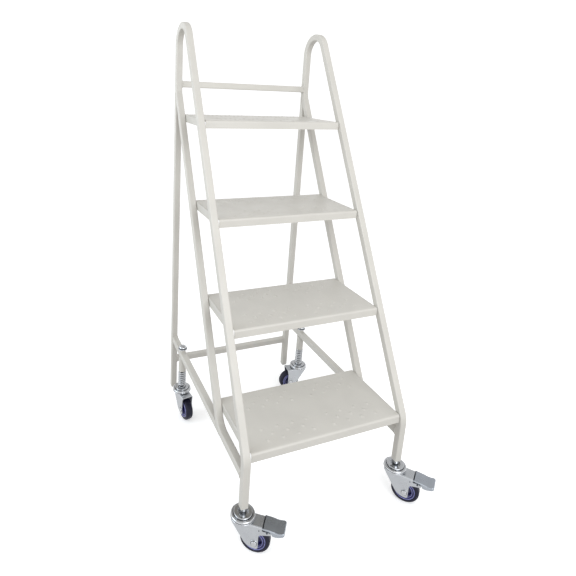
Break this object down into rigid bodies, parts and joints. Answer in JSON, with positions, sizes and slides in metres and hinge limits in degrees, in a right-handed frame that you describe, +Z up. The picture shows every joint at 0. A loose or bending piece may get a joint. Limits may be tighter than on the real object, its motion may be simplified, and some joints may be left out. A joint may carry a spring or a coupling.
{
  "type": "mobile platform ladder",
  "caption": "Rolling step ladder of bent square steel tube with sheet-metal steps, on swivel casters with sprung stems at the back.",
  "frame": {"origin": "on the floor, under the middle of the outline, casters and brake pedals included", "axes": "+Z up, +X to the right of somebody who stands in front of the ladder and looks at it, +Y to the back, the way one climbs"},
  "size_m": [0.5762, 0.776, 1.3181],
  "materials": {
    "powder_coat": "satin powder coat, warm off-white",
    "zinc": "bright zinc plated pressed steel",
    "chrome": "polished plated steel",
    "spring_steel": "zinc plated spring wire",
    "tyre": "dark polyurethane tread",
    "wheel_centre": "navy blue moulded wheel centre",
    "foot_plastic": "light grey moulded plug"
  },
  "bodies": {
    "frame": {"side_loop_left": "powder_coat", "rear_leg_left": "powder_coat", "rear_foot_left": "foot_plastic", "base_rail_left": "powder_coat", "spring_sleeve_left": "powder_coat", "cap_nut_left": "chrome", "spring_left": "spring_steel", "side_loop_right": "powder_coat", "rear_leg_right": "powder_coat", "rear_foot_right": "foot_plastic", "base_rail_right": "powder_coat", "spring_sleeve_right": "powder_coat", "cap_nut_right": "chrome", "spring_right": "spring_steel", "upper_cross_bar": "powder_coat", "lower_cross_bar": "powder_coat", "step_1": "powder_coat", "step_2": "powder_coat", "step_3": "powder_coat", "step_4": "powder_coat", "caster_stem_front_left": "chrome", "caster_stem_front_right": "chrome", "caster_stem_rear_left": "chrome", "caster_stem_rear_right": "chrome"},
    "swivel_front_left": {"fork_front_left": "zinc", "axle_front_left": "zinc", "brake_pedal_front_left": "zinc"},
    "wheel_front_left": {"tyre_front_left": "tyre", "hub_front_left": "wheel_centre"},
    "swivel_front_right": {"fork_front_right": "zinc", "axle_front_right": "zinc", "brake_pedal_front_right": "zinc"},
    "wheel_front_right": {"tyre_front_right": "tyre", "hub_front_right": "wheel_centre"},
    "swivel_rear_left": {"fork_rear_left": "zinc", "axle_rear_left": "zinc"},
    "wheel_rear_left": {"tyre_rear_left": "tyre", "hub_rear_left": "wheel_centre"},
    "swivel_rear_right": {"fork_rear_right": "zinc", "axle_rear_right": "zinc"},
    "wheel_rear_right": {"tyre_rear_right": "tyre", "hub_rear_right": "wheel_centre"}
  },
  "joints": [
    {"name": "swivel_turn_front_left", "type": "hinge", "parent": "frame", "child": "swivel_front_left", "pos_m": [-0.25715, -0.29422, 0.09005], "axis": [0, -0.0449, 0.999], "continuous": true},
    {"name": "wheel_spin_front_left", "type": "hinge", "parent": "swivel_front_left", "child": "wheel_front_left", "pos_m": [-0.22919, -0.31297, 0.03816], "axis": [0.6018, 0.7978, 0.0359], "continuous": true},
    {"name": "swivel_turn_front_right", "type": "hinge", "parent": "frame", "child": "swivel_front_right", "pos_m": [0.20685, -0.29422, 0.09005], "axis": [0, -0.0449, 0.999], "continuous": true},
    {"name": "wheel_spin_front_right", "type": "hinge", "parent": "swivel_front_right", "child": "wheel_front_right", "pos_m": [0.22888, -0.3191, 0.03788], "axis": [0.7771, 0.6287, 0.0283], "continuous": true},
    {"name": "swivel_turn_rear_left", "type": "hinge", "parent": "frame", "child": "swivel_rear_left", "pos_m": [-0.25715, 0.2626, 0.09005], "axis": [0, -0.0449, 0.999], "continuous": true},
    {"name": "wheel_spin_rear_left", "type": "hinge", "parent": "swivel_rear_left", "child": "wheel_rear_left", "pos_m": [-0.25167, 0.23035, 0.03755], "axis": [0.9877, 0.1563, 0.007], "continuous": true},
    {"name": "swivel_turn_rear_right", "type": "hinge", "parent": "frame", "child": "swivel_rear_right", "pos_m": [0.20685, 0.2626, 0.09005], "axis": [0, -0.0449, 0.999], "continuous": true},
    {"name": "wheel_spin_rear_right", "type": "hinge", "parent": "swivel_rear_right", "child": "wheel_rear_right", "pos_m": [0.17199, 0.26793, 0.03924], "axis": [-0.0872, -0.9952, -0.0447], "continuous": true}
  ]
}
